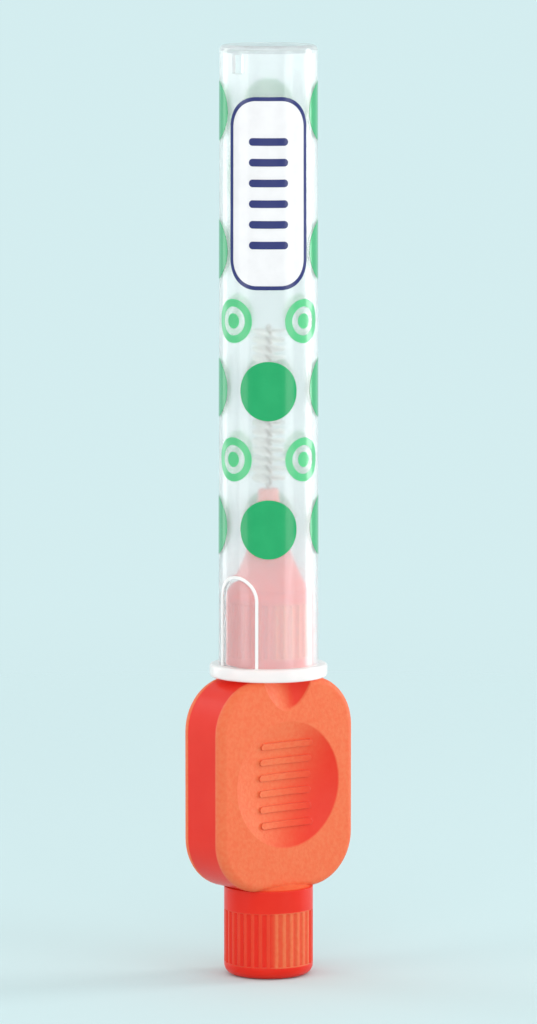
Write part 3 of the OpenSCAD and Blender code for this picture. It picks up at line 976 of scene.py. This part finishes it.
class BRUSH_OT_cap(bpy.types.Operator):
    """Turns the cap with its flange, panels and air slots"""

    bl_idname = "interdental.cap"
    bl_label = "Turn cap"

    def execute(self, context):
        sizes = context.scene.cap_sizes
        bm = bmesh.new()
        verts = [bm.verts.new((x, 0, z)) for x, z in cap_profile(sizes)]
        edges = [bm.edges.new(pair) for pair in zip(verts, verts[1:])]
        bmesh.ops.rotate(bm, verts=verts, cent=(0, 0, 0), matrix=Matrix.Rotation(sizes.turn, 3, "Z"))
        bmesh.ops.spin(
            bm,
            geom=verts + edges,
            cent=(0, 0, 0),
            axis=(0, 0, 1),
            angle=math.tau,
            steps=sizes.columns,
            use_merge=True,
        )
        bmesh.ops.remove_doubles(bm, verts=bm.verts, dist=WELD)
        sides = (sizes.turn, sizes.turn + math.pi)
        for side in sides:
            cut_vent(bm, side, sizes)
        for face in bm.faces:
            face.material_index = wall_kind(face.calc_center_median(), sides, sizes)
        for side in sides:
            press_arch(bm, side, sizes)
        materials = [
            cap_material("milky cap plastic", sizes, sizes.tint, sizes.clearness),
            cap_material("milky thick plastic", sizes, sizes.thick_tint, sizes.thick_clearness),
            cap_material("milky thin plastic", sizes, sizes.tint, sizes.thin_clearness),
        ]
        piece = to_object(bm, "clear_cap", materials, "cap")
        soften_edges(piece)
        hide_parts("cap")
        beads = WrappedLayer("panel_beads", materials[1], sizes, -0.02 * MM, 1.3 * sizes.arch_bead)
        for side in sides:
            beads.add(panel_bead(sizes), side, cap_low.z + sizes.flange_h)
        soften_edges(beads.finish())
        return {"FINISHED"}


class BRUSH_OT_print(bpy.types.Operator):
    """Prints the plain label and the pattern of discs, rings and dots"""

    bl_idname = "interdental.print"
    bl_label = "Print cap"

    def execute(self, context):
        ink = context.scene.print_sizes
        cap = context.scene.cap_sizes
        label_z = cap_high.z - ink.label_drop
        white = ink_layer("label_patch", ink.white, cap, ink.ink_t)
        blue = ink_layer("label_marks", ink.blue, cap, ink.ink_t, ink.ink_t)
        green = ink_layer("print_discs", ink.green, cap, ink.ink_t)
        light = ink_layer("print_rings", ink.green_light, cap, ink.ink_t)
        label = (ink.label_w, ink.label_h, ink.label_corner)
        white.add(flat_patch(*label), ink.turn, label_z)
        blue.add(flat_patch(*label, ink.label_rim), ink.turn, label_z)
        for i in range(ink.bar_count):
            z = label_z + (i - (ink.bar_count - 1) / 2) * ink.bar_pitch
            blue.add(flat_patch(ink.bar_w, ink.bar_h, ink.bar_h / 2.001), ink.turn, z)
        self.pattern(ink, cap, green, light, label_z)
        for layer in (white, blue, green, light):
            layer.finish()
        return {"FINISHED"}

    def pattern(self, ink, cap, green, light, label_z):
        """Rows of discs and rings, each row half a column on from the last, with dots between."""
        low = cap_low.z + cap.flange_h + cap.arch_h + 0.85 * ink.disc_d
        rows = int((cap_high.z - 0.6 * ink.disc_d - low) / ink.row_pitch) + 1
        for row in range(rows):
            z = low + ink.row_pitch * row
            for column in range(ink.columns):
                turn = ink.turn + math.tau * (column + 0.5 * (row % 2)) / ink.columns
                near_label = abs(angle_from(Vector((math.cos(turn), math.sin(turn), 0)), ink.turn))
                beside = near_label * wall_radius(z, cap) - ink.disc_d / 2 < ink.label_w / 2
                if beside and abs(z - label_z) < ink.label_h / 2 + ink.disc_d / 2:
                    continue
                if row % 2:
                    light.add(disc_patch(ink.ring_d, ink.ring_w), turn, z)
                    light.add(disc_patch(ink.dot_d), turn, z)
                else:
                    green.add(disc_patch(ink.disc_d), turn, z)


def stand_off(obj, azimuth, elevation, distance, target):
    """Puts an object at a distance from the target, at two angles in radians, and turns it to face it."""
    flat = math.cos(elevation)
    out = Vector((math.sin(azimuth) * flat, -math.cos(azimuth) * flat, math.sin(elevation)))
    obj.rotation_mode = "QUATERNION"
    obj.rotation_quaternion = out.to_track_quat("Z", "Y")
    obj.location = target + distance * out
    bpy.context.scene.collection.objects.link(obj)


def softbox(name, azimuth, elevation, distance, size, radiance, target):
    """A rectangular lamp that faces the object, at two angles in degrees."""
    lamp = bpy.data.lights.new(name, "AREA")
    lamp.shape = "RECTANGLE"
    lamp.size, lamp.size_y = size
    lamp.energy = radiance * 4 * size[0] * size[1]
    obj = bpy.data.objects.new(name, lamp)
    stand_off(obj, math.radians(azimuth), math.radians(elevation), distance, target)


def studio_world(looks):
    """Plain white light from all round, and the pale background where camera, gloss or glass look."""
    world = bpy.data.worlds.new("studio")
    world.use_nodes = True
    tree = world.node_tree
    tree.nodes.clear()
    path = make_node(tree, "ShaderNodeLightPath")
    light = make_node(tree, "ShaderNodeBackground", {"Color": (1, 1, 1, 1), "Strength": looks.ambient})
    seen = make_node(tree, "ShaderNodeBackground", {"Color": opaque(looks.floor), "Strength": 1.0})
    direct = math_node(tree, "LESS_THAN", path.outputs["Diffuse Depth"], 0.5)
    through = times(tree, path.outputs["Is Transmission Ray"], direct)
    looked = math_node(tree, "MAXIMUM", path.outputs["Is Camera Ray"], path.outputs["Is Glossy Ray"])
    factor = math_node(tree, "MAXIMUM", looked, through)
    mix = make_node(tree, "ShaderNodeMixShader", {0: factor, 1: light.outputs[0], 2: seen.outputs[0]})
    make_node(tree, "ShaderNodeOutputWorld", {"Surface": mix.outputs[0]})
    bpy.context.scene.world = world


def floor_material(looks):
    """Pale matt floor that fades into the background away from the object."""
    material, tree, shader = new_material("pale floor")
    set_sockets(shader, {"Base Color": opaque(looks.floor), "Roughness": 0.9, "Specular IOR Level": 0.1})
    place = make_node(tree, "ShaderNodeTexCoord")
    reach = reach_from(tree, place.outputs["Object"], (0, 0, 0), (1, 1, 1))
    mix_with_clear(shader, soft_step(tree, reach, *FLOOR_FADE))
    return material


class BRUSH_OT_stage(bpy.types.Operator):
    """Lays the pale floor and sets the lamps and the camera"""

    bl_idname = "interdental.stage"
    bl_label = "Set stage"

    def execute(self, context):
        looks = context.scene.stage_looks
        low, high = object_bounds()
        middle = (low + high) / 2
        bm = bmesh.new()
        bmesh.ops.create_circle(bm, cap_ends=True, cap_tris=True, segments=96, radius=FLOOR_R)
        mesh = to_mesh(bm, "floor")
        floor = bpy.data.objects.new("floor", mesh)
        floor.location.z = cad_low.z
        mesh.materials.append(floor_material(looks))
        context.scene.collection.objects.link(floor)
        floor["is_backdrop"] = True
        studio_world(looks)
        for name, values in SOFTBOXES.items():
            softbox(name, *values, middle)
        self.camera(context, looks, low, high)
        context.scene.view_settings.view_transform = "Standard"
        return {"FINISHED"}

    def camera(self, context, looks, low, high):
        """Aims the camera from the photographed side, so that the object fills the picture's height."""
        camera = bpy.data.cameras.new("camera")
        camera.lens = looks.lens
        camera.clip_start = 0.01
        camera.clip_end = 20
        half_view = math.atan(camera.sensor_width / 2 / camera.lens)
        tall = (high.z - low.z) * math.cos(looks.elevation)
        tall += (high.y - low.y) * math.sin(looks.elevation)
        distance = tall / 2 / looks.fill / math.tan(half_view)
        obj = bpy.data.objects.new("camera", camera)
        stand_off(obj, looks.azimuth, looks.elevation, distance, (low + high) / 2)
        context.scene.camera = obj


class BRUSH_PT_panel(bpy.types.Panel):
    """Lists the steps of the brush in the sidebar"""

    bl_idname = "BRUSH_PT_panel"
    bl_label = "Interdental brush"
    bl_space_type = "VIEW_3D"
    bl_region_type = "UI"
    bl_category = "Brush"

    def draw(self, context):
        for operator in OPERATORS:
            self.layout.operator(operator.bl_idname)


SETTINGS = {
    "grip_looks": GripLooks,
    "wire_sizes": WireSizes,
    "bristle_sizes": BristleSizes,
    "cap_sizes": CapSizes,
    "print_sizes": PrintSizes,
    "stage_looks": StageLooks,
}
OPERATORS = (
    BRUSH_OT_grip,
    BRUSH_OT_wire,
    BRUSH_OT_bristles,
    BRUSH_OT_cap,
    BRUSH_OT_print,
    BRUSH_OT_stage,
)


def register():
    """Makes the settings, operators and panel known to Blender."""
    for name, group in SETTINGS.items():
        bpy.utils.register_class(group)
        setattr(bpy.types.Scene, name, PointerProperty(type=group))
    for operator in OPERATORS:
        bpy.utils.register_class(operator)
    bpy.utils.register_class(BRUSH_PT_panel)


def unregister():
    """Takes them away again."""
    bpy.utils.unregister_class(BRUSH_PT_panel)
    for operator in reversed(OPERATORS):
        bpy.utils.unregister_class(operator)
    for name, group in reversed(SETTINGS.items()):
        delattr(bpy.types.Scene, name)
        bpy.utils.unregister_class(group)


def main():
    """Builds every piece."""
    register()
    bpy.ops.interdental.grip()
    bpy.ops.interdental.wire()
    bpy.ops.interdental.bristles()
    bpy.ops.interdental.cap()
    bpy.ops.interdental.print()
    bpy.ops.interdental.stage()


if __name__ == "__main__":
    main()
